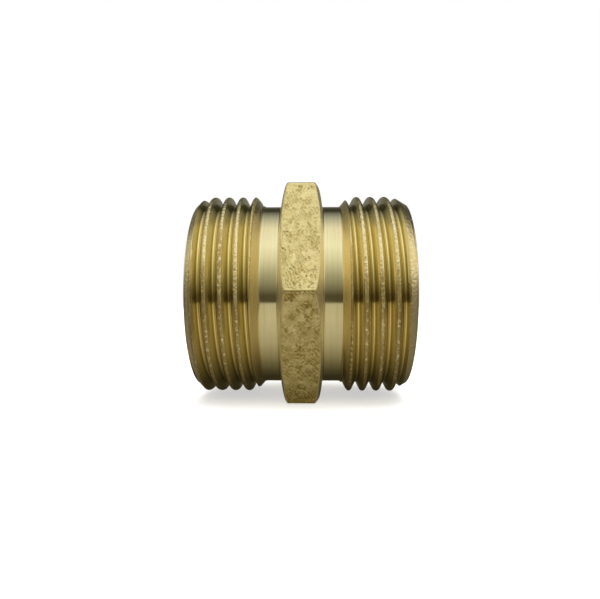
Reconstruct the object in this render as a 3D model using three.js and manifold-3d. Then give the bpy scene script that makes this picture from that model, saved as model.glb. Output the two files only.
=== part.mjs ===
// Brass hex nipple, a double-ended male pipe connector with a hexagonal spanner collar.
// Millimetres, +Z up. The pipe axis runs along X through the origin, which is the middle of the collar.
// Two of the hexagon's flats face up and down, and two of its corners face -Y and +Y.
//
// The real fitting is one piece of brass. Its three regions, the collar and the two threaded ends, are
// separate closed solids here, and they meet at the shoulders where the collar's side faces begin.

import * as THREE from "three";
import { mergeVertices } from "three/addons/utils/BufferGeometryUtils.js";
import Module from "manifold-3d";

const wasm = await Module();
wasm.setup();

// Overall size: a G 1 (DN 25) parallel pipe thread on both ends.
const TOTAL_LENGTH = 34.5;
const BORE_DIAMETER = 25;
const BORE_MOUTH_CHAMFER = 0.5;

// Spanner collar. Its side faces lean inwards, so it is thickest where it meets the necks.
const HEX_ACROSS_FLATS = 34.5;
const HEX_HALF_THICKNESS_AT_NECK = 3.35;
const HEX_HALF_THICKNESS_AT_FLAT = 3.0;
const HEX_HALF_THICKNESS_AT_CORNER = 2.15;

// Necks between the collar and the threads.
const NECK_DIAMETER = 29.8;

// Thread: Whitworth form, 11 threads per inch, right-handed on both ends.
const THREAD_PITCH = 25.4 / 11;
const THREAD_MAJOR_DIAMETER = 33.1;
const THREAD_DEPTH = 0.640327 * THREAD_PITCH;
const THREAD_CREST_RADIUS = 0.137329 * THREAD_PITCH;
const FLANK_HALF_ANGLE = THREE.MathUtils.degToRad(27.5);

// The thread runs out to the neck on one 45 degree cone, and to the end face on another.
const RUN_OUT_START = 5.9;
const END_FACE_DIAMETER = 30.3;

// Where one crest of each thread crosses the line that faces -Y.
const LEFT_CREST_AT_FRONT = -14.0;
const RIGHT_CREST_AT_FRONT = 7.25;

// Fineness of the facets.
const SEGMENTS_PER_TURN = 40;
const HEX_LENS_SEGMENTS = 72;
const CREST_ARC_STEPS = 3;

const HALF_LENGTH = TOTAL_LENGTH / 2;
const BORE_RADIUS = BORE_DIAMETER / 2;
const HEX_APOTHEM = HEX_ACROSS_FLATS / 2;
const HEX_CORNER_RADIUS = HEX_APOTHEM / Math.cos(Math.PI / 6);
const NECK_RADIUS = NECK_DIAMETER / 2;
const MAJOR_RADIUS = THREAD_MAJOR_DIAMETER / 2;
const ROOT_RADIUS = MAJOR_RADIUS - THREAD_DEPTH;
const END_FACE_RADIUS = END_FACE_DIAMETER / 2;
const CUTTER_OVERRUN = 2;

// A closed three.js geometry as a manifold-3d solid, for joining and cutting.
function toSolid(geometry) {
  const bare = geometry.clone();
  bare.deleteAttribute("normal");
  bare.deleteAttribute("uv");
  const merged = mergeVertices(bare, 1e-5);
  const mesh = new wasm.Mesh({
    numProp: 3,
    vertProperties: new Float32Array(merged.attributes.position.array),
    triVerts: new Uint32Array(merged.index.array),
  });
  return new wasm.Manifold(mesh);
}

// A manifold-3d solid back as a three.js geometry.
function toGeometry(solid) {
  const mesh = solid.getMesh();
  const geometry = new THREE.BufferGeometry();
  geometry.setAttribute("position", new THREE.BufferAttribute(mesh.vertProperties, 3));
  geometry.setIndex(new THREE.BufferAttribute(mesh.triVerts, 1));
  geometry.computeVertexNormals();
  return geometry;
}

// The same outline on the other side of the origin, with x still rising along it.
function mirrored(outline) {
  return outline.map(([x, radius]) => [-x, radius]).reverse();
}

// A solid of revolution about X. The outline is a list of [x, radius] pairs in the order of rising x, and it
// starts and ends on the axis.
function revolve(outline, segments) {
  const points = outline.map(([x, radius]) => new THREE.Vector2(radius, x));
  const lathe = new THREE.LatheGeometry(points, segments);
  lathe.rotateZ(-Math.PI / 2);
  return toSolid(lathe);
}

// The hole through the part, a little longer than it, with a small chamfer at each mouth.
function boreCutter() {
  const mouthRadius = BORE_RADIUS + BORE_MOUTH_CHAMFER + CUTTER_OVERRUN;
  const oneSide = [
    [HALF_LENGTH - BORE_MOUTH_CHAMFER, BORE_RADIUS],
    [HALF_LENGTH + CUTTER_OVERRUN, mouthRadius],
    [HALF_LENGTH + CUTTER_OVERRUN, 0],
  ];
  return revolve([...mirrored(oneSide), ...oneSide], SEGMENTS_PER_TURN);
}

// A bar of regular hexagonal section along X, with flats facing up and down.
function hexBar(length) {
  const section = new THREE.Shape();
  for (let corner = 0; corner < 6; corner += 1) {
    const angle = (corner * Math.PI) / 3;
    const point = new THREE.Vector2(Math.cos(angle), Math.sin(angle)).multiplyScalar(HEX_CORNER_RADIUS);
    if (corner === 0) {
      section.moveTo(point.x, point.y);
    } else {
      section.lineTo(point.x, point.y);
    }
  }
  section.closePath();
  const bar = new THREE.ExtrudeGeometry(section, { depth: length, bevelEnabled: false });
  bar.translate(0, 0, -length / 2);
  // The section's own x and y become Y and Z, and the depth becomes X.
  bar.rotateY(Math.PI / 2);
  bar.rotateX(Math.PI / 2);
  return toSolid(bar);
}

// The collar: a hexagonal bar cut to a lens of revolution that thins towards the corners.
function hexCollar(bore) {
  const oneSide = [
    [HEX_HALF_THICKNESS_AT_CORNER, HEX_CORNER_RADIUS],
    [HEX_HALF_THICKNESS_AT_FLAT, HEX_APOTHEM],
    [HEX_HALF_THICKNESS_AT_NECK, NECK_RADIUS],
    [HEX_HALF_THICKNESS_AT_NECK, 0],
  ];
  const lens = revolve([...mirrored(oneSide), ...oneSide], HEX_LENS_SEGMENTS);
  return hexBar(4 * HEX_HALF_THICKNESS_AT_NECK).intersect(lens).subtract(bore);
}

// The section of one thread ridge, crest up, as a shape of axial distance and radius. Its flanks run on below
// the root, so that the barrel cuts them off cleanly.
function ridgeSection() {
  const sunk = 0.3;
  const crestHalfAngle = Math.PI / 2 - FLANK_HALF_ANGLE;
  const crestCentre = MAJOR_RADIUS - THREAD_CREST_RADIUS;
  const flankTop = new THREE.Vector2(
    THREAD_CREST_RADIUS * Math.sin(crestHalfAngle),
    crestCentre + THREAD_CREST_RADIUS * Math.cos(crestHalfAngle),
  );
  const baseRadius = ROOT_RADIUS - sunk;
  const baseHalfWidth = flankTop.x + (flankTop.y - baseRadius) * Math.tan(FLANK_HALF_ANGLE);

  const section = new THREE.Shape();
  section.moveTo(-baseHalfWidth, baseRadius);
  section.lineTo(baseHalfWidth, baseRadius);
  for (let step = 0; step <= CREST_ARC_STEPS; step += 1) {
    const angle = crestHalfAngle * (1 - (2 * step) / CREST_ARC_STEPS);
    section.lineTo(
      THREAD_CREST_RADIUS * Math.sin(angle),
      crestCentre + THREAD_CREST_RADIUS * Math.cos(angle),
    );
  }
  section.closePath();
  return section;
}

// One helical ridge that covers lowX to highX: a straight bar, one step long for each facet of the barrel,
// with every vertex wound round X. A crest crosses the -Y line at crestAtFront.
function threadRidge(lowX, highX, crestAtFront) {
  const advancePerStep = THREAD_PITCH / SEGMENTS_PER_TURN;
  const turnPerStep = (2 * Math.PI) / SEGMENTS_PER_TURN;
  const firstStep = Math.floor((lowX - crestAtFront) / advancePerStep);
  const lastStep = Math.ceil((highX - crestAtFront) / advancePerStep);
  const steps = lastStep - firstStep;
  const bar = new THREE.ExtrudeGeometry(ridgeSection(), { depth: steps, steps, bevelEnabled: false });
  const position = bar.attributes.position;
  for (let index = 0; index < position.count; index += 1) {
    const step = firstStep + Math.round(position.getZ(index));
    const radius = position.getY(index);
    // Angles count from +Y towards +Z, so the -Y line is at half a turn.
    const angle = Math.PI + step * turnPerStep;
    const x = position.getX(index) + crestAtFront + step * advancePerStep;
    position.setXYZ(index, x, radius * Math.cos(angle), radius * Math.sin(angle));
  }
  return toSolid(bar);
}

// A neck with its threaded end. side is -1 for the left end and +1 for the right.
function threadedEnd(side, crestAtFront, bore) {
  const onThisSide = (outline) => (side > 0 ? outline : mirrored(outline));
  const fullThreadStart = RUN_OUT_START + MAJOR_RADIUS - NECK_RADIUS;
  const fullThreadEnd = HALF_LENGTH - (MAJOR_RADIUS - END_FACE_RADIUS);
  const barrel = revolve(onThisSide([
    [HEX_HALF_THICKNESS_AT_NECK, 0],
    [HEX_HALF_THICKNESS_AT_NECK, NECK_RADIUS],
    [RUN_OUT_START, NECK_RADIUS],
    [RUN_OUT_START + ROOT_RADIUS - NECK_RADIUS, ROOT_RADIUS],
    [HALF_LENGTH, ROOT_RADIUS],
    [HALF_LENGTH, 0],
  ]), SEGMENTS_PER_TURN);
  const envelope = revolve(onThisSide([
    [RUN_OUT_START, 0],
    [RUN_OUT_START, NECK_RADIUS],
    [fullThreadStart, MAJOR_RADIUS],
    [fullThreadEnd, MAJOR_RADIUS],
    [HALF_LENGTH, END_FACE_RADIUS],
    [HALF_LENGTH, 0],
  ]), SEGMENTS_PER_TURN);
  const ends = [side * RUN_OUT_START, side * HALF_LENGTH];
  const lowX = Math.min(...ends) - THREAD_PITCH;
  const highX = Math.max(...ends) + THREAD_PITCH;
  const ridge = threadRidge(lowX, highX, crestAtFront).intersect(envelope);
  return barrel.add(ridge).subtract(bore);
}

// One named mesh with its own finish.
function piece(name, solid, finish) {
  const mesh = new THREE.Mesh(toGeometry(solid), new THREE.MeshStandardMaterial(finish));
  mesh.name = name;
  return mesh;
}

const forgedBrass = { color: 0xb8a05a, roughness: 0.55, metalness: 1 };
const turnedBrass = { color: 0xc9b46c, roughness: 0.25, metalness: 1 };

const bore = boreCutter();
const hexNipple = new THREE.Group();
hexNipple.add(
  piece("hex_collar", hexCollar(bore), forgedBrass),
  piece("left_threaded_end", threadedEnd(-1, LEFT_CREST_AT_FRONT, bore), turnedBrass),
  piece("right_threaded_end", threadedEnd(1, RIGHT_CREST_AT_FRONT, bore), turnedBrass),
);

export default hexNipple;
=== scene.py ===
"""Looks for a brass hex nipple: a forged spanner collar between two turned, externally threaded ends.

Lengths in this file are millimetres, and TO_METRES turns them into Blender's. The pipe axis is X, +Z is up,
and the camera stands on the -Y side. Angles round the pipe count from +Y towards +Z, so the line that faces
the camera is at half a turn.
"""

import math

import bpy
import numpy as np
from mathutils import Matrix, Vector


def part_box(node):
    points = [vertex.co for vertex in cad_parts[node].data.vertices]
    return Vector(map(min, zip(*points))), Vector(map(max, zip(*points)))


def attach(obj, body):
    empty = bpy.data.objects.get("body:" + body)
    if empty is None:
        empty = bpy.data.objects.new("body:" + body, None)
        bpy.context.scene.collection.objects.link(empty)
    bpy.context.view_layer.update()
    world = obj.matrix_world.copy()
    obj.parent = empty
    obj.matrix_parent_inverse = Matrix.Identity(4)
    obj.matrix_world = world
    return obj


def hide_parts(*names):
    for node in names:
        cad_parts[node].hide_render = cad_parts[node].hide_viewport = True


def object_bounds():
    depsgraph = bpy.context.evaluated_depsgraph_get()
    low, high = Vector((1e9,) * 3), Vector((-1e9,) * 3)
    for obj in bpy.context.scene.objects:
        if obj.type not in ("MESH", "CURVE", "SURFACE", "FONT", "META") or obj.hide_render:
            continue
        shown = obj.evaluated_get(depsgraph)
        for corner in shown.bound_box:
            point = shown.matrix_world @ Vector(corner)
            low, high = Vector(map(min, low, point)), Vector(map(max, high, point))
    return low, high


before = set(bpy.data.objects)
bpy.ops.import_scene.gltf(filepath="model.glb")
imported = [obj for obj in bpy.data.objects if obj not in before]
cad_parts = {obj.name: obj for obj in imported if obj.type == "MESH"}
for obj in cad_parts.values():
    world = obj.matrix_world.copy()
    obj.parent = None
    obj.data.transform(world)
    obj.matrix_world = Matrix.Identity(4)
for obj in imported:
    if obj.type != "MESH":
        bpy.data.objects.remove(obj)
cad_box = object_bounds()

TO_METRES = 0.001
FRONT = math.pi
FULL_TURN = 2 * math.pi
QUARTER_TURN = math.pi / 2
SIXTH_TURN = math.pi / 3

# ---------------------------------------------------------------- sizes

# From the CAD frame.
_, collar_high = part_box("hex_collar")
_, right_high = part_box("right_threaded_end")
HALF_LENGTH = right_high.x / TO_METRES
SHOULDER_X = collar_high.x / TO_METRES
HEX_APOTHEM = collar_high.z / TO_METRES

# Turned parts.
BORE_RADIUS = 12.5
BORE_MOUTH_CHAMFER = 0.5
MOUTH_EDGE_BREAK = 0.06
NECK_RADIUS = 14.9
END_FACE_RADIUS = 15.2
FILLET_RADIUS = 0.25
RIM_RADIUS = 0.22
NECK_START = SHOULDER_X + FILLET_RADIUS
RIM_START = HALF_LENGTH - RIM_RADIUS

# Whitworth thread, 11 to the inch, with its crests worn rounder than the standard's.
PITCH = 25.4 / 11
MAJOR_RADIUS = 16.55
FLANK_HALF_ANGLE = math.radians(27.5)
THREAD_DEPTH = 0.640327 * PITCH
ROOT_RADIUS = MAJOR_RADIUS - THREAD_DEPTH
CREST_RADIUS = 0.49
CREST_HALF_WIDTH = CREST_RADIUS * math.cos(FLANK_HALF_ANGLE)
CREST_HEIGHT = CREST_RADIUS * (1 - math.sin(FLANK_HALF_ANGLE))
ROOT_START = CREST_HALF_WIDTH + (THREAD_DEPTH - CREST_HEIGHT) * math.tan(FLANK_HALF_ANGLE)

# How softly the flanks run into the root, the two cones into each other, and the thread into the cones.
ROOT_CORNER = 0.04
CONES_ROUNDING = 0.1
RIDGE_ROUNDING = 0.08

# What differs between the two ends: where a crest crosses the line that faces the camera, the slope of the
# chamfer at the end face, the start, slope and foot rounding of the cone on which the thread runs out to the
# neck, and the seed of the crests' wear.
LEFT_END = {
    "side": -1,
    "crest_at_front": -14.04,
    "chamfer": math.radians(45),
    "run_out_start": 6.2,
    "run_out": math.radians(48.5),
    "run_out_fillet": 0.25,
    "seed": 11,
}
RIGHT_END = {
    "side": 1,
    "crest_at_front": 7.25,
    "chamfer": math.radians(31),
    "run_out_start": 6.25,
    "run_out": math.radians(50),
    "run_out_fillet": 0.05,
    "seed": 23,
}

# The two ends of each band over which a mark on a threaded end comes or goes.
THREAD_ABOVE_NECK = (0.05, 0.12)
FLANK_ABOVE_ROOT = (0.02, 0.08)
# The band above the root over which the flanks are painted darker, painted shade in the thread's groove.
SHADE_ABOVE_ROOT = (0.1, 0.55)
CREST_FROM_MAJOR = (-0.42, -0.27)
CREST_FROM_ITS_LINE = (0.2, CREST_HALF_WIDTH)
CHAMFER_FROM_ITS_CONE = (0.05, 0.12)
CHAMFER_FROM_MAJOR = (-0.65, -0.35)
# The band of height round the pipe over which the crests turn from painted shade to painted highlight.
TOP_SHEEN_BAND = (-0.15, 0.5)
# How much of the crests' rough finish the end chamfers share.
CHAMFER_WEAR = 0.6
# How deep the crests' damage is: everywhere, where they are torn, and at single nicks.
GRAIN_DEPTH = 0.004
TORN_DEPTH = 0.024
NICK_DEPTH = 0.035

# Collar: pairs of radius and half thickness at the neck, the middle of a flat and a corner, and its edges.
LENS = ((15.15, 3.35), (17.25, 3.0), (19.92, 2.15))
HALF_FLAT = HEX_APOTHEM * math.tan(SIXTH_TURN / 2)
HEX_CORNER_ROUNDING = 0.5
HEX_EDGE_ROUNDING = 0.36

# Forged surface: the depth of its furrows, lumps and pits, and the furrows' slant in degrees, on the upper
# front flat and from one flat to the next.
FURROW_DEPTH = 0.1
LUMP_DEPTH = 0.03
PIT_DEPTH = 0.08
FURROW_SLANT = -28
FURROW_SLANT_CHANGE = -14
UPPER_FRONT_FLAT = 2
# How far from a corner the flats are rubbed smooth, and how much more painted shade the rounded edges get.
RUBBED_FROM_CORNER = (0.25, 0.9)
EDGE_SHADE = 2.4
# How brown each flat is painted, counted from the upper back one over the top to the front and round: partly
# a tone that differs from flat to flat, and partly painted shade, which makes the lower flats darker.
TARNISH_AND_SHADE = (0.3, 0.15, 0.0, 0.75, 0.5, 0.4)

# Fineness of the meshes. The last row on a flank lies CORNER_STEP from the root. A helical row that comes
# within END_SNAP of the neck's start or the rim's is put there. Rows SUPPORT_STEP from a corner of the bore
# keep it crisp, and one more lies at the BORE_ROW share of the way from the middle to the end face.
TURNED_COLUMNS = 576
CREST_ROWS = 5
FLANK_ROWS = 3
ROOT_ROWS = 3
CORNER_STEP = 0.03
END_SNAP = 0.02
SUPPORT_STEP = 0.1
BORE_ROW = 0.6
TURNED_ARC_STEPS = 4
FLAT_COLUMNS = 176
FLAT_ROWS = 50
SIDE_FACE_STEPS = 8
HEX_EDGE_STEPS = 5
CORNER_CROWDING = 0.03
WELD_DISTANCE = 0.0004
SHARP_EDGE = math.radians(55)

# ---------------------------------------------------------------- noise


def hashed(ix, iy, iz, seed):
    """A repeatable random number from 0 to 1 for each lattice point."""
    mixed = ix * 374761393 + iy * 668265263 + iz * 2147483629 + seed * 1274126177
    mixed = mixed & 0xFFFFFFFF
    mixed = ((mixed ^ (mixed >> 13)) * 1274126177) & 0xFFFFFFFF
    mixed = mixed ^ (mixed >> 16)
    return mixed / 0xFFFFFFFF


def smooth_noise(x, y, z, seed):
    """Value noise from -1 to 1 with lumps one unit across."""
    corner = [np.floor(v).astype(np.int64) for v in (x, y, z)]
    part = [v - c for v, c in zip((x, y, z), corner)]
    weight = [p * p * (3 - 2 * p) for p in part]
    total = np.zeros(np.broadcast(x, y, z).shape)
    for dx in (0, 1):
        for dy in (0, 1):
            for dz in (0, 1):
                share = (
                    (weight[0] if dx else 1 - weight[0])
                    * (weight[1] if dy else 1 - weight[1])
                    * (weight[2] if dz else 1 - weight[2])
                )
                total += share * hashed(corner[0] + dx, corner[1] + dy, corner[2] + dz, seed)
    return 2 * total - 1


def step_up(value, low, high):
    """0 below low, 1 above high, smooth between."""
    t = np.clip((value - low) / (high - low), 0, 1)
    return t * t * (3 - 2 * t)


def fade_in(value, base, band):
    """0 to 1 as value passes through the band, which counts from base."""
    return step_up(value, base + band[0], base + band[1])


def soft_min(a, b, softness):
    """The smaller of a and b, with the corner between them rounded."""
    h = np.clip(0.5 + 0.5 * (b - a) / softness, 0, 1)
    return b * (1 - h) + a * h - softness * h * (1 - h)


# ---------------------------------------------------------------- mesh building


def weld(points, faces):
    """Joins vertices that round to the same steps of WELD_DISTANCE, and drops the faces that collapse.

    Returns the new points, the new faces, and which old vertex each new one is."""
    key = np.round(points / WELD_DISTANCE).astype(np.int64)
    _, first, inverse = np.unique(key, axis=0, return_index=True, return_inverse=True)
    clean = []
    for face in inverse.ravel()[faces]:
        loop = [int(v) for i, v in enumerate(face) if v != face[i - 1]]
        if len(set(loop)) == len(loop) and len(loop) >= 3:
            clean.append(loop)
    return points[first], clean, first


def grid_object(name, points, marks, closed_round=False, flipped=False):
    """A closed mesh object from a grid of points, with the marks as named values for each vertex.

    closed_round joins the last column to the first; without it they coincide, and are welded. Only the
    object's real edges are sharp."""
    rows, columns = points.shape[:2]
    index = np.arange(rows * columns).reshape(rows, columns)
    if closed_round:
        index = np.hstack([index, index[:, :1]])
    quads = np.stack([index[:-1, :-1], index[:-1, 1:], index[1:, 1:], index[1:, :-1]], -1).reshape(-1, 4)
    if flipped:
        quads = quads[:, ::-1]
    points, faces, kept = weld(points.reshape(-1, 3), quads)
    mesh = bpy.data.meshes.new(name)
    mesh.from_pydata((points * TO_METRES).tolist(), [], faces)
    mesh.update()
    for label, values in marks.items():
        attribute = mesh.attributes.new(label, "FLOAT", "POINT")
        attribute.data.foreach_set("value", values.reshape(-1)[kept].astype(np.float32))
    mesh.shade_smooth()
    mesh.set_sharp_from_angle(angle=SHARP_EDGE)
    piece = bpy.data.objects.new(name, mesh)
    bpy.context.scene.collection.objects.link(piece)
    return piece


# ---------------------------------------------------------------- the threaded ends


def thread_drop(distance):
    """How far the thread lies below its crest: a round crest, straight flanks and a narrow flat root."""
    on_crest = CREST_RADIUS - np.sqrt(np.maximum(CREST_RADIUS**2 - distance**2, 0))
    on_flank = CREST_HEIGHT + (distance - CREST_HALF_WIDTH) / math.tan(FLANK_HALF_ANGLE)
    return np.where(distance < CREST_HALF_WIDTH, on_crest, soft_min(on_flank, THREAD_DEPTH, ROOT_CORNER))


def crest_distance(x, angle, end):
    """Axial distance from the nearest crest of the right-handed helix."""
    turns = (x - end["crest_at_front"]) / PITCH - (angle - FRONT) / FULL_TURN
    return np.abs(turns - np.round(turns)) * PITCH


def chamfer_cone(x, end):
    """The radius of the chamfer's cone at x."""
    return END_FACE_RADIUS + (HALF_LENGTH - np.abs(x)) * math.tan(end["chamfer"])


def run_out_cone(x, end):
    """The radius at x of the cone on which the thread runs out, with the fillet at its foot and the neck."""
    cone = NECK_RADIUS + (np.abs(x) - end["run_out_start"]) * math.tan(end["run_out"])
    return -soft_min(-cone, -NECK_RADIUS, end["run_out_fillet"])


def turned_surface(x, angle, end):
    """The outer radius of a threaded end at x and angle, and how far the run-out cone makes that surface."""
    thread = MAJOR_RADIUS - thread_drop(crest_distance(x, angle, end))
    run_out = run_out_cone(x, end)
    ridge = soft_min(thread, soft_min(run_out, chamfer_cone(x, end), CONES_ROUNDING), RIDGE_ROUNDING)
    on_cone = step_up(thread - run_out, 0, RIDGE_ROUNDING)
    return np.maximum(ridge, NECK_RADIUS), on_cone


def row_offsets():
    """Axial offsets of one pitch's mesh rows, counted from a crest and closer together on its curves."""
    crest = np.linspace(0, CREST_HALF_WIDTH, CREST_ROWS + 1)
    root_edge = ROOT_START - ROOT_CORNER / 2
    flank = np.linspace(CREST_HALF_WIDTH, root_edge - CORNER_STEP, FLANK_ROWS + 1)[1:]
    root = np.linspace(root_edge, PITCH / 2, ROOT_ROWS + 1)
    half = np.concatenate([crest, flank, root])
    return np.concatenate([half, PITCH - half[-2:0:-1]])


def helical_rows(angle, end):
    """Rows that follow the helix from the neck to the rim, outwards: x, angle, radius and cone share.

    Each row ends one pitch further along +X than it starts, where the row of the next pitch starts."""
    low, high = sorted((end["side"] * NECK_START, end["side"] * RIM_START))
    first_pitch = math.floor((low - end["crest_at_front"]) / PITCH) - 1
    last_pitch = math.ceil((high - end["crest_at_front"]) / PITCH) + 1
    offsets = row_offsets()
    pitches = range(first_pitch, last_pitch)
    rows = np.concatenate([end["crest_at_front"] + PITCH * n + offsets for n in pitches])
    x = rows[:, None] + PITCH * (angle[None, :] - FRONT) / FULL_TURN
    x = np.where(x < low + END_SNAP, low, np.where(x > high - END_SNAP, high, x))
    around = np.broadcast_to(angle[None, :], x.shape)
    radius, on_cone = turned_surface(x, around, end)

    keep = (x.max(1) > low) & (x.min(1) < high)
    keep |= np.roll(keep, 1) | np.roll(keep, -1)
    # The left end's rows are turned round, so that they run outwards too.
    return [values[keep][:: end["side"]] for values in (x, around, radius, on_cone)]


def fillet_profile():
    """The fillet from the shoulder to the neck, as points of distance from the middle and radius."""
    tilts = np.linspace(QUARTER_TURN, 0, TURNED_ARC_STEPS + 1)[:-1]
    return [
        (NECK_START - FILLET_RADIUS * math.sin(tilt), NECK_RADIUS + FILLET_RADIUS * (1 - math.cos(tilt)))
        for tilt in tilts
    ]


def end_profile(end):
    """The rim, the end face, the mouth's chamfer with broken edges, and the bore back to the shoulder."""
    rim_outer = END_FACE_RADIUS + RIM_RADIUS * math.tan(end["chamfer"])
    rim_inner = END_FACE_RADIUS - RIM_RADIUS
    tilts = np.linspace(0, QUARTER_TURN, TURNED_ARC_STEPS + 1)[1:]
    rim = [
        (RIM_START + RIM_RADIUS * math.sin(tilt), rim_outer - (rim_outer - rim_inner) * (1 - math.cos(tilt)))
        for tilt in tilts
    ]
    mouth = BORE_RADIUS + BORE_MOUTH_CHAMFER
    chamfer_end = HALF_LENGTH - BORE_MOUTH_CHAMFER
    return rim + [
        (HALF_LENGTH, (END_FACE_RADIUS + mouth) / 2),
        (HALF_LENGTH, mouth + MOUTH_EDGE_BREAK),
        (HALF_LENGTH - MOUTH_EDGE_BREAK, mouth - MOUTH_EDGE_BREAK / 3),
        (chamfer_end, BORE_RADIUS + MOUTH_EDGE_BREAK * 2 / 3),
        (chamfer_end - SUPPORT_STEP, BORE_RADIUS),
        (HALF_LENGTH * BORE_ROW, BORE_RADIUS),
        (SHOULDER_X + SUPPORT_STEP, BORE_RADIUS),
        (SHOULDER_X, BORE_RADIUS),
    ]


def plain_rings(profile, angle, side):
    """Rings square to the axis, one for each point of the profile: x, angle, radius and cone share."""
    distance, radius = np.array(profile).T[:, :, None]
    shape = (len(profile), len(angle))
    return [np.broadcast_to(values, shape) for values in (side * distance, angle, radius, 0.0)]


def turned_marks(x, angle, radius, on_cone, end):
    """What the turned material reads at each point, as shares from 0 to 1."""
    outside = (np.abs(x) > NECK_START) & (np.abs(x) < RIM_START)
    threaded = outside & (radius > NECK_RADIUS + THREAD_ABOVE_NECK[0])
    thread = threaded * fade_in(radius, NECK_RADIUS, THREAD_ABOVE_NECK)
    chamfer = threaded * (1 - fade_in(chamfer_cone(x, end) - radius, 0, CHAMFER_FROM_ITS_CONE))
    chamfer = chamfer * (1 - fade_in(radius, MAJOR_RADIUS, CHAMFER_FROM_MAJOR))
    crest = threaded * (1 - fade_in(crest_distance(x, angle, end), 0, CREST_FROM_ITS_LINE))
    crest = crest * fade_in(radius, MAJOR_RADIUS, CREST_FROM_MAJOR)
    flank = thread * (1 - crest) * fade_in(radius, ROOT_RADIUS, FLANK_ABOVE_ROOT)
    # Painted shade: the flanks darken towards the root.
    corner = flank * (1 - fade_in(radius, ROOT_RADIUS, SHADE_ABOVE_ROOT))
    return {
        "thread": thread,
        "chamfer": chamfer,
        "crest": crest,
        "flank": flank,
        "corner": corner,
        "cone": on_cone * thread,
    }


def threaded_end(name, end):
    """The neck, thread, end face and bore of one end, as one closed mesh."""
    side, seed = end["side"], end["seed"]
    angle = np.arange(TURNED_COLUMNS + 1) * FULL_TURN / TURNED_COLUMNS
    fillet = fillet_profile()
    bands = (
        plain_rings(fillet, angle, side),
        helical_rows(angle, end),
        plain_rings(end_profile(end), angle, side),
        plain_rings(fillet[:1], angle, side),
    )
    x, around, radius, on_cone = (np.concatenate(values) for values in zip(*bands))
    marks = turned_marks(x, around, radius, on_cone, end)
    y, z = radius * np.cos(around), radius * np.sin(around)

    def lumps(across, long, layer):
        """Noise with lumps stretched round the pipe."""
        return smooth_noise(x / across, y / long, z / long, seed + layer)

    # The crests are rough all round, more so where they are torn, and nicked here and there.
    grain = lumps(0.22, 0.45, 0)
    nicks = lumps(0.45, 1.1, 1)
    torn = step_up(lumps(1.5, 3.5, 2), -0.1, 0.6)
    damage = (GRAIN_DEPTH + TORN_DEPTH * torn) * np.maximum(grain, 0) + NICK_DEPTH * np.maximum(nicks, 0)
    radius = radius - marks["crest"] * damage

    # The crests are painted pale on the pipe's upper side and dull on its lower side: a painted highlight
    # above and painted shade below, with a patchy change between. The end chamfers share the pale colour all
    # round.
    top_light = 0.9 * np.sin(around) + 0.6 * lumps(3, 5, 3)
    chamfer = marks.pop("chamfer")
    marks["top_sheen_and_chamfer"] = np.maximum(fade_in(top_light, 0, TOP_SHEEN_BAND), chamfer)
    marks["crest"] = np.maximum(marks["crest"], CHAMFER_WEAR * chamfer)
    points = np.stack([x, radius * np.cos(around), radius * np.sin(around)], -1)
    return grid_object(name, points, marks, flipped=side < 0)


left_end = threaded_end("left_end", LEFT_END)
right_end = threaded_end("right_end", RIGHT_END)


# ---------------------------------------------------------------- the collar


def hexagon_radius(angle):
    """Distance from the axis to the hexagon, whose rounded corners are at multiples of a sixth turn."""
    half_sector = SIXTH_TURN / 2
    from_corner = np.abs(angle - SIXTH_TURN * np.round(angle / SIXTH_TURN))
    flat = HEX_APOTHEM / np.cos(half_sector - from_corner)
    centre = (HEX_APOTHEM - HEX_CORNER_ROUNDING) / math.cos(half_sector)
    inside = np.maximum(HEX_CORNER_ROUNDING**2 - (centre * np.sin(from_corner)) ** 2, 0)
    rounded = centre * np.cos(from_corner) + np.sqrt(inside)
    touch_across = HEX_CORNER_ROUNDING * math.sin(half_sector)
    touch_out = centre + HEX_CORNER_ROUNDING * math.cos(half_sector)
    return np.where(from_corner < math.atan2(touch_across, touch_out), rounded, flat)


def collar_angles():
    """Angles of the collar's columns: steps along each flat, a little shorter towards its corners."""
    along = np.linspace(-HALF_FLAT, HALF_FLAT, FLAT_COLUMNS + 1)[:-1]
    along = along * (1 + CORNER_CROWDING * (1 - (along / HALF_FLAT) ** 2))
    one_flat = np.arctan2(along, HEX_APOTHEM) + SIXTH_TURN / 2
    return np.concatenate([one_flat + SIXTH_TURN * n for n in range(6)])


def lens_half_width(radius):
    """Half thickness of the collar at a radius: a smooth curve through the three LENS points."""
    (r0, w0), (r1, w1), (r2, w2) = LENS
    return (
        w0 * (radius - r1) * (radius - r2) / ((r0 - r1) * (r0 - r2))
        + w1 * (radius - r0) * (radius - r2) / ((r1 - r0) * (r1 - r2))
        + w2 * (radius - r0) * (radius - r1) / ((r2 - r0) * (r2 - r1))
    )


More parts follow.
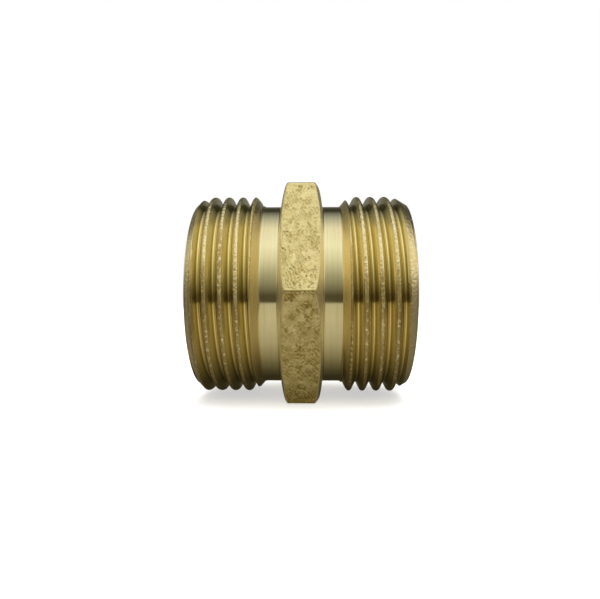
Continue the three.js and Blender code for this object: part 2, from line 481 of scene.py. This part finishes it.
def collar_rows(outer):
    """The collar's section at each column, once round from the bore's edge: x, radius and forged share.

    The forged share is 0 on the turned faces, 1 on the flats, and rises round the edge between them."""
    small_step = 0.01
    slope = (lens_half_width(outer + small_step) - lens_half_width(outer)) / small_step
    lean = np.arctan(-slope)
    # The edge's arc touches the flat and the leaning side face.
    reach = HEX_EDGE_ROUNDING * np.tan((QUARTER_TURN - lean) / 2)
    side_end = outer - reach * np.cos(lean)
    arc_x = lens_half_width(side_end) - HEX_EDGE_ROUNDING * np.cos(lean)
    arc_radius = outer - HEX_EDGE_ROUNDING

    side_start = LENS[0][0]
    beside_bore = BORE_RADIUS + 1.2
    half = [(SHOULDER_X, radius, 0) for radius in (BORE_RADIUS, beside_bore, side_start)]
    for share in np.linspace(0, 1, SIDE_FACE_STEPS + 1)[1:]:
        radius = side_start + (side_end - side_start) * share
        half.append((lens_half_width(radius), radius, 0))
    for share in np.linspace(0, 1, HEX_EDGE_STEPS + 1)[1:]:
        tilt = lean + (QUARTER_TURN - lean) * share
        x = arc_x + HEX_EDGE_ROUNDING * np.cos(tilt)
        half.append((x, arc_radius + HEX_EDGE_ROUNDING * np.sin(tilt), share))
    flat = [(arc_x * share, outer, 1) for share in np.linspace(1, -1, FLAT_ROWS)[1:-1]]
    mirrored = [(-x, radius, forged) for x, radius, forged in half[::-1]]
    bore = [(SHOULDER_X * share, BORE_RADIUS, 0) for share in (-0.5, 0, 0.5, 1)]
    rows = half + flat + mirrored + bore
    return [np.array([np.broadcast_to(value, outer.shape) for value in values]) for values in zip(*rows)]


def forged_relief(x, along, flat):
    """The as-forged texture: its depth below each flat, and the painted shade that darkens its hollows."""
    layer = 7.0 * flat

    def lumps(size, seed):
        return smooth_noise(x / size, along / size, layer, seed)

    def ripples(slant, length, seed):
        """Parallel wavy furrows that come and go."""
        bend = 0.4 * lumps(1.4, seed) + 0.18 * lumps(0.55, seed + 1)
        wave = np.sin(FULL_TURN * (x * np.cos(slant) + along * np.sin(slant) + bend) / length)
        return step_up(lumps(1.1, seed + 2), -0.25, 0.4) * (1 + wave) / 2

    slant = np.radians(FURROW_SLANT + FURROW_SLANT_CHANGE * (flat - UPPER_FRONT_FLAT))
    furrows = ripples(slant, 0.48, 40) + 0.6 * ripples(slant + 1.3, 0.42, 50)
    pits = step_up(lumps(0.3, 10), 0.25, 0.65) * step_up(lumps(1.8, 11), -0.4, 0.2)
    fine, small, broad = lumps(0.24, 5), lumps(0.5, 6), lumps(3.1, 7)
    depth = FURROW_DEPTH * furrows
    for bumps in (fine, small, broad):
        depth = depth + LUMP_DEPTH * (bumps + 1)
    depth = depth + PIT_DEPTH * pits
    # Painted shade: the furrows and pits, and a little of the lumps, are painted darker.
    painted_shade = step_up(furrows + 0.9 * pits + 0.3 * fine + 0.3 * small, 0.35, 1.25)
    return depth, painted_shade


def hex_collar(name):
    """The forged collar with its bore, as one closed mesh."""
    angle = collar_angles()
    x, radius, forged = collar_rows(hexagon_radius(angle))
    flat = np.repeat(np.arange(6), FLAT_COLUMNS)
    face = SIXTH_TURN / 2 + SIXTH_TURN * flat
    along = radius * np.sin(angle - face)
    inward = step_up(HALF_FLAT - np.abs(along), *RUBBED_FROM_CORNER)
    relief, painted_shade = forged_relief(x, along, flat)
    depth = forged * inward * relief
    y = radius * np.cos(angle) - depth * np.cos(face)
    z = radius * np.sin(angle) - depth * np.sin(face)
    marks = {
        "forged": np.sqrt(forged),
        # Painted shade in the hollows, and on the rounded edges between flat and side face.
        "painted_shade": forged * painted_shade + EDGE_SHADE * forged * (1 - forged),
        "rubbed": forged * (1 - inward),
        "tarnish_and_shade": forged * np.array(TARNISH_AND_SHADE)[flat],
    }
    return grid_object(name, np.stack([x, y, z], -1), marks, closed_round=True)


collar = hex_collar("collar")

# ---------------------------------------------------------------- materials

# How ring lines spread on faces square to the axis, and how much they waver round the pipe.
RING_SLANT = 2.6
LINE_WANDER = 1.2
# The depth of the fine tool lines.
LINE_DEPTH = 0.006


class Nodes:
    """Short helpers for building the node tree of a material or a world."""

    def __init__(self, owner):
        owner.use_nodes = True
        self.tree = owner.node_tree

    def add(self, kind, **settings):
        node = self.tree.nodes.new(kind)
        for key, value in settings.items():
            setattr(node, key, value)
        return node

    def link(self, source, target):
        self.tree.links.new(source, target)

    def put(self, given, socket):
        """Sets a socket to a number or a colour, or links another node's socket to it."""
        if isinstance(given, (int, float)):
            socket.default_value = given
        elif isinstance(given, tuple):
            socket.default_value = (*given, 1)
        else:
            self.link(given, socket)

    def value(self, operation, *given):
        node = self.add("ShaderNodeMath", operation=operation)
        for number, socket in zip(given, node.inputs):
            self.put(number, socket)
        return node.outputs[0]

    def ranged(self, value, start, end, low=0.0, high=1.0, kind="SMOOTHSTEP"):
        """Turns start to end into low to high, and holds the value at both ends."""
        node = self.add("ShaderNodeMapRange", interpolation_type=kind)
        limits = (("From Min", start), ("From Max", end), ("To Min", low), ("To Max", high))
        for label, limit in limits:
            node.inputs[label].default_value = limit
        self.link(value, node.inputs["Value"])
        return node.outputs[0]

    def parts(self, vector):
        node = self.add("ShaderNodeSeparateXYZ")
        self.link(vector, node.inputs[0])
        return node.outputs

    def scaled(self, vector, scale):
        node = self.add("ShaderNodeVectorMath", operation="SCALE")
        self.link(vector, node.inputs[0])
        self.put(scale, node.inputs["Scale"])
        return node.outputs[0]

    def noise(self, vector, scale, detail=2.0, roughness=0.5):
        node = self.add("ShaderNodeTexNoise")
        node.inputs["Scale"].default_value = scale
        node.inputs["Detail"].default_value = detail
        node.inputs["Roughness"].default_value = roughness
        self.link(vector, node.inputs["Vector"])
        return node.outputs["Fac"]

    def ramp(self, factor, stops):
        """A colour ramp through stops of place and colour."""
        node = self.add("ShaderNodeValToRGB")
        elements = node.color_ramp.elements
        while len(elements) < len(stops):
            elements.new(0.5)
        for element, (place, colour) in zip(elements, stops):
            element.position = place
            element.color = (*colour, 1)
        self.link(factor, node.inputs["Fac"])
        return node.outputs["Color"]

    def mix(self, factor, first, second):
        """A colour between two colours."""
        node = self.add("ShaderNodeMix", data_type="RGBA")
        self.link(factor, node.inputs["Factor"])
        self.put(first, node.inputs[6])
        self.put(second, node.inputs[7])
        return node.outputs[2]

    def blend(self, factor, first, second):
        """A number between two numbers."""
        node = self.add("ShaderNodeMix", data_type="FLOAT")
        self.link(factor, node.inputs[0])
        self.put(first, node.inputs[2])
        self.put(second, node.inputs[3])
        return node.outputs[0]

    def bump(self, height, depth, below=None):
        """A normal for a relief of that depth, on top of the normal below."""
        node = self.add("ShaderNodeBump")
        node.inputs["Distance"].default_value = depth * TO_METRES
        self.link(height, node.inputs["Height"])
        if below is not None:
            self.link(below, node.inputs["Normal"])
        return node.outputs["Normal"]

    def attribute(self, name):
        return self.add("ShaderNodeAttribute", attribute_name=name).outputs["Fac"]

    def coordinates(self, kind):
        return self.add("ShaderNodeTexCoord").outputs[kind]


def millimetres_round_axis(n):
    """Sockets for a point's place, its x, its distance from the pipe axis, and its angle round it."""
    place = n.scaled(n.coordinates("Object"), 1 / TO_METRES)
    x, y, z = n.parts(place)
    radius = n.value("SQRT", n.value("ADD", n.value("MULTIPLY", y, y), n.value("MULTIPLY", z, z)))
    return place, x, radius, n.value("ARCTAN2", z, y)


def line_noise(n, first, second, third):
    """Noise at a point built from three sockets."""
    joined = n.add("ShaderNodeCombineXYZ")
    for socket, given in zip(joined.inputs, (first, second, third)):
        n.link(given, socket)
    return n.noise(joined.outputs[0], 1.0, 3.0, 0.6)


def ring_lines(n, x, radius, angle, per_millimetre):
    """Tool lines round the pipe axis, on cylinders, cones and end faces alike."""
    along = n.value("MULTIPLY_ADD", radius, RING_SLANT, n.value("ABSOLUTE", x))
    return line_noise(
        n,
        n.value("MULTIPLY", along, per_millimetre),
        n.value("MULTIPLY", n.value("COSINE", angle), LINE_WANDER),
        n.value("MULTIPLY", n.value("SINE", angle), LINE_WANDER),
    )


def thread_lines(n, x, radius, angle, per_millimetre):
    """Tool lines that follow the helix of the thread."""
    phase = n.value("SUBTRACT", n.value("MULTIPLY", x, FULL_TURN / PITCH), angle)
    spread = per_millimetre * PITCH / FULL_TURN
    return line_noise(
        n,
        n.value("MULTIPLY", n.value("COSINE", phase), spread),
        n.value("MULTIPLY", n.value("SINE", phase), spread),
        n.value("MULTIPLY", radius, per_millimetre),
    )


def turned_brass():
    """Bright turned brass, with fine tool lines round the pipe and along the thread, and rougher crests."""
    material = bpy.data.materials.new("turned_brass")
    n = Nodes(material)
    shader = n.tree.nodes["Principled BSDF"]
    place, *axis = millimetres_round_axis(n)
    crest = n.attribute("crest")
    top_sheen_and_chamfer = n.attribute("top_sheen_and_chamfer")
    thread = n.attribute("thread")
    cone = n.attribute("cone")
    fine = n.blend(thread, ring_lines(n, *axis, 13), thread_lines(n, *axis, 11))
    broad = n.blend(thread, ring_lines(n, *axis, 3), thread_lines(n, *axis, 4))
    grain = n.noise(place, 5.0, 2.0, 0.6)
    patches = n.noise(place, 0.3)
    blobs = n.noise(place, 2.1, 2.0, 0.55)

    plain = n.ramp(broad, [(0.3, (0.82, 0.72, 0.39)), (0.7, (0.95, 0.85, 0.51))])
    root = n.ramp(broad, [(0.25, (0.94, 0.78, 0.37)), (0.75, (1.0, 0.86, 0.45))])
    flank = n.ramp(broad, [(0.25, (0.74, 0.64, 0.35)), (0.75, (0.89, 0.80, 0.48))])
    # Painted shade: the flanks are painted dark near the root.
    flank = n.mix(n.value("MULTIPLY", n.attribute("corner"), 0.7), flank, (0.43, 0.34, 0.13))
    threaded = n.mix(cone, n.mix(n.attribute("flank"), root, flank), (0.97, 0.84, 0.50))
    # The crests' colour comes in two copies: dull, painted shade for the lower side, and pale, a painted
    # highlight for the upper side.
    dull = n.ramp(blobs, [(0.50, (0.57, 0.44, 0.18)), (0.56, (0.66, 0.52, 0.22)), (0.62, (1.0, 0.90, 0.56))])
    pale = n.ramp(blobs, [(0.34, (0.82, 0.66, 0.32)), (0.5, (0.98, 0.82, 0.44)), (0.66, (1.0, 0.93, 0.60))])
    colour = n.mix(crest, n.mix(thread, plain, threaded), n.mix(top_sheen_and_chamfer, dull, pale))
    n.link(colour, shader.inputs["Base Color"])
    shader.inputs["Metallic"].default_value = 1.0

    smooth = n.value("MULTIPLY_ADD", patches, 0.08, 0.05)
    matt = n.value("MULTIPLY_ADD", cone, 0.17, smooth)
    crest_rough = n.value("MULTIPLY_ADD", top_sheen_and_chamfer, -0.14, n.value("MULTIPLY_ADD", blobs, -0.4, 0.5))
    n.link(n.value("MULTIPLY_ADD", crest, crest_rough, matt), shader.inputs["Roughness"])

    normal = n.bump(n.value("MULTIPLY_ADD", broad, 0.6, fine), LINE_DEPTH)
    burrs = n.value("MULTIPLY_ADD", grain, 0.3, blobs)
    normal = n.bump(n.value("MULTIPLY", burrs, crest), 0.13, normal)
    n.link(normal, shader.inputs["Normal"])
    return material


def forged_brass():
    """Matt forged brass on the flats, and turned side faces and bore."""
    material = bpy.data.materials.new("forged_brass")
    n = Nodes(material)
    shader = n.tree.nodes["Principled BSDF"]
    place, *axis = millimetres_round_axis(n)
    forged = n.attribute("forged")
    tarnish_and_shade = n.attribute("tarnish_and_shade")
    grain = n.noise(place, 7.0, 3.0, 0.65)
    speck = n.noise(place, 2.8, 2.0, 0.6)
    patches = n.noise(place, 0.7, 3.0, 0.6)
    lines = ring_lines(n, *axis, 12)

    bright = n.ramp(patches, [(0.3, (0.78, 0.65, 0.28)), (0.7, (0.97, 0.83, 0.42))])
    skin = n.mix(n.ramp(speck, [(0.31, (0, 0, 0)), (0.43, (1, 1, 1))]), (0.62, 0.49, 0.18), bright)
    # Partly each flat's own brown tone, partly painted shade on the lower flats.
    brown = n.value("MULTIPLY", tarnish_and_shade, n.value("MULTIPLY_ADD", patches, -1.2, 1.05))
    skin = n.mix(brown, skin, (0.34, 0.25, 0.07))
    # Painted shade: the hollows and rounded edges are painted dark brown, more so on the browner flats.
    shade_strength = n.value("MULTIPLY", n.attribute("painted_shade"), n.value("MULTIPLY_ADD", tarnish_and_shade, 0.7, 0.45))
    skin = n.mix(shade_strength, skin, (0.42, 0.31, 0.08))
    machined = n.ramp(lines, [(0.3, (0.88, 0.79, 0.50)), (0.7, (0.97, 0.88, 0.60))])
    n.link(n.mix(forged, machined, skin), shader.inputs["Base Color"])
    shader.inputs["Metallic"].default_value = 1.0

    skin_rough = n.value("MULTIPLY_ADD", patches, 0.12, 0.18)
    matt = n.value("MULTIPLY_ADD", n.attribute("rubbed"), -0.14, skin_rough)
    side_rough = n.value("MULTIPLY_ADD", lines, 0.1, 0.33)
    n.link(n.blend(forged, side_rough, matt), shader.inputs["Roughness"])

    normal = n.bump(n.value("MULTIPLY", grain, forged), 0.05)
    turned_share = n.value("SUBTRACT", 1.0, forged)
    normal = n.bump(n.value("MULTIPLY", lines, turned_share), LINE_DEPTH, normal)
    n.link(normal, shader.inputs["Normal"])
    return material


turned = turned_brass()
for piece in (left_end, right_end):
    piece.data.materials.append(turned)
collar.data.materials.append(forged_brass())

# ---------------------------------------------------------------- frame

for piece, node, finish in (
    (left_end, "left_threaded_end", "turned_brass"),
    (right_end, "right_threaded_end", "turned_brass"),
    (collar, "hex_collar", "forged_brass"),
):
    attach(piece, "root")
    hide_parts(node)

# ---------------------------------------------------------------- studio

scene = bpy.context.scene
scene.view_settings.view_transform = "Standard"
scene.view_settings.look = "None"

# What the brass reflects, by the direction's height in degrees round the pipe axis: 0 is towards the camera,
# 90 is straight up and 180 is straight back. It is dark at camera height, with a pale sweep below it.
SKY = (
    (-180, (0.10, 0.08, 0.05)),
    (-150, (0.03, 0.02, 0.01)),
    (-97, (0.16, 0.125, 0.075)),
    (-65, (0.42, 0.39, 0.30)),
    (-35, (0.55, 0.53, 0.44)),
    (-13, (0.50, 0.48, 0.40)),
    (-12, (0.08, 0.07, 0.05)),
    (-3, (0.08, 0.07, 0.045)),
    (22, (0.40, 0.40, 0.33)),
    (44, (0.78, 0.80, 0.73)),
    (62, (0.98, 1.00, 0.98)),
    (90, (0.88, 0.88, 0.86)),
    (118, (0.32, 0.34, 0.36)),
    (134, (0.04, 0.04, 0.03)),
    (148, (0.06, 0.06, 0.05)),
    (160, (0.20, 0.20, 0.17)),
    (180, (0.22, 0.22, 0.19)),
)
# Brightness towards the two ends of the pipe, by the share of the way between these two values of the
# direction's z, and the share below which that light is warmer.
SIDE_Z = (-0.6, 0.6)
SIDE_LIGHT = ((0, 0.12), (0.33, 0.2), (0.5, 0.22), (0.62, 0.4), (0.72, 0.75), (0.8, 0.95), (1, 0.9))
SIDE_WARM_BELOW = 0.6
# How bright the brass sees the table, by the distance behind or in front of the pipe axis. It is a painted
# reflection: the object's shadow is painted in as its dark middle, and it is warmer near the object.
TABLE_REACH = 80
TABLE = (
    (0, 0.03),
    (3, 0.035),
    (6, 0.075),
    (9, 0.15),
    (12, 0.26),
    (17, 0.41),
    (24, 0.5),
    (35, 0.55),
    (TABLE_REACH, 0.5),
)
TABLE_WARM_WITHIN = 20


def warm_grey(level, warmth, green, blue):
    """A grey of that brightness. green and blue are its shares when cool, and what warmth takes off them."""
    return (level, level * (green[0] - green[1] * warmth), level * (blue[0] - blue[1] * warmth))


def sky_round_pipe(n, y, z):
    """The light that depends on the direction's height round the pipe axis."""
    height = n.value("ARCTAN2", z, n.value("MULTIPLY", y, -1))
    share = n.ranged(height, -math.pi, math.pi, kind="LINEAR")
    return n.ramp(share, [((degrees + 180) / 360, colour) for degrees, colour in SKY])


def light_past_ends(n, x, y, z):
    """The light towards the two ends of the pipe: brighter above than below, and warmer low down."""
    stops = []
    for share, level in SIDE_LIGHT:
        warmth = 1 - min(share, SIDE_WARM_BELOW) / SIDE_WARM_BELOW
        stops.append((share, warm_grey(level, warmth, (0.93, 0.07), (0.78, 0.24))))
    sides = n.ramp(n.ranged(z, *SIDE_Z, kind="LINEAR"), stops)
    # Behind the left end the backdrop is lit, and behind the right end it is in shade.
    behind_left = n.ranged(y, 0.35, 0.7, low=0.7, high=1.1)
    behind_right = n.ranged(y, 0.1, 0.7, low=1.0, high=0.25)
    behind = n.blend(n.value("GREATER_THAN", x, 0), behind_left, behind_right)
    # Above and behind, both sides are dark.
    upper_back = n.value("MULTIPLY", n.value("MAXIMUM", y, 0), z)
    gloom = n.ranged(upper_back, 0.10, 0.26, low=1.0, high=0.2)
    return n.scaled(sides, n.value("MULTIPLY", behind, gloom))


def studio_world():
    """The studio that the brass reflects. What the camera sees behind the object is plain white."""
    world = bpy.data.worlds.new("studio")
    n = Nodes(world)
    n.tree.nodes.clear()
    x, y, z = n.parts(n.coordinates("Generated"))
    towards_ends = n.ranged(n.value("ABSOLUTE", x), 0.25, 0.75)
    colour = n.mix(towards_ends, sky_round_pipe(n, y, z), light_past_ends(n, x, y, z))
    reflected = n.add("ShaderNodeBackground")
    n.link(colour, reflected.inputs["Color"])
    seen = n.add("ShaderNodeBackground")
    n.put((1, 1, 1), seen.inputs["Color"])
    either = n.add("ShaderNodeMixShader")
    n.link(n.add("ShaderNodeLightPath").outputs["Is Camera Ray"], either.inputs["Fac"])
    n.link(reflected.outputs[0], either.inputs[1])
    n.link(seen.outputs[0], either.inputs[2])
    n.link(either.outputs[0], n.add("ShaderNodeOutputWorld").inputs["Surface"])
    scene.world = world


def level_sheet(name, half_x, half_y):
    """A level rectangle under the collar's lowest flat."""
    signs = ((-1, -1), (1, -1), (1, 1), (-1, 1))
    corners = [(sx * half_x * TO_METRES, sy * half_y * TO_METRES, cad_box[0].z) for sx, sy in signs]
    mesh = bpy.data.meshes.new(name)
    mesh.from_pydata(corners, [], [(0, 1, 2, 3)])
    sheet = bpy.data.objects.new(name, mesh)
    scene.collection.objects.link(sheet)
    return sheet


def pale_floor():
    """A large matt floor, white to the camera apart from the object's soft shadow."""
    floor = level_sheet("floor", 4000, 4000)
    material = bpy.data.materials.new("pale_floor")
    n = Nodes(material)
    shader = n.tree.nodes["Principled BSDF"]
    n.put((0.8, 0.8, 0.8), shader.inputs["Base Color"])
    n.put(0.9, shader.inputs["Roughness"])
    n.put((1, 1, 1), shader.inputs["Emission Color"])
    n.put(0.55, shader.inputs["Emission Strength"])
    floor.data.materials.append(material)
    floor.visible_glossy = False


def table_card():
    """What the brass sees of the table: a glowing grey sheet, darker where the object's shadow is painted
    in. Only reflections show it.
    """
    card = level_sheet("table_card", 120, 81)
    material = bpy.data.materials.new("table_card")
    n = Nodes(material)
    n.tree.nodes.remove(n.tree.nodes["Principled BSDF"])
    x, y, _ = n.parts(n.coordinates("Object"))
    stops = []
    for place, level in TABLE:
        warmth = max(0.0, 1 - place / TABLE_WARM_WITHIN)
        stops.append((place / TABLE_REACH, warm_grey(level, warmth, (0.94, 0.10), (0.78, 0.36))))
    out = n.value("MULTIPLY", n.value("ABSOLUTE", y), 1 / (TABLE_REACH * TO_METRES))
    # The painted shadow fades out past the two ends of the pipe.
    past_ends = n.ranged(n.value("ABSOLUTE", x), 13 * TO_METRES, 30 * TO_METRES)
    glow = n.add("ShaderNodeEmission")
    n.link(n.mix(past_ends, n.ramp(out, stops), (0.20, 0.18, 0.15)), glow.inputs["Color"])
    n.link(glow.outputs[0], n.tree.nodes["Material Output"].inputs["Surface"])
    card.data.materials.append(material)
    card.visible_camera = False
    card.visible_diffuse = False
    card.visible_shadow = False


def floor_light():
    """A broad soft light from overhead. It lights the floor, and isn't mirrored in the brass."""
    light = bpy.data.lights.new("floor_light", "SUN")
    light.energy = 2.4
    light.angle = math.radians(70)
    lamp = bpy.data.objects.new("floor_light", light)
    lamp.rotation_euler = (math.radians(-8), math.radians(5), 0)
    lamp.visible_glossy = False
    scene.collection.objects.link(lamp)


def camera():
    """The camera, close in front of the object at about the height of the pipe axis."""
    data = bpy.data.cameras.new("camera")
    data.sensor_width = 36
    data.lens = 32.54
    data.clip_start = 5 * TO_METRES
    rig = bpy.data.objects.new("camera", data)
    distance, right, down = 94.3, 1.7, 2.0
    rig.location = (right * TO_METRES, -distance * TO_METRES, -down * TO_METRES)
    upward = math.radians(0.63)
    leftward = math.radians(1.29)
    rig.rotation_euler = (QUARTER_TURN + upward, 0, leftward)
    scene.collection.objects.link(rig)
    scene.camera = rig


studio_world()
pale_floor()
table_card()
floor_light()
camera()
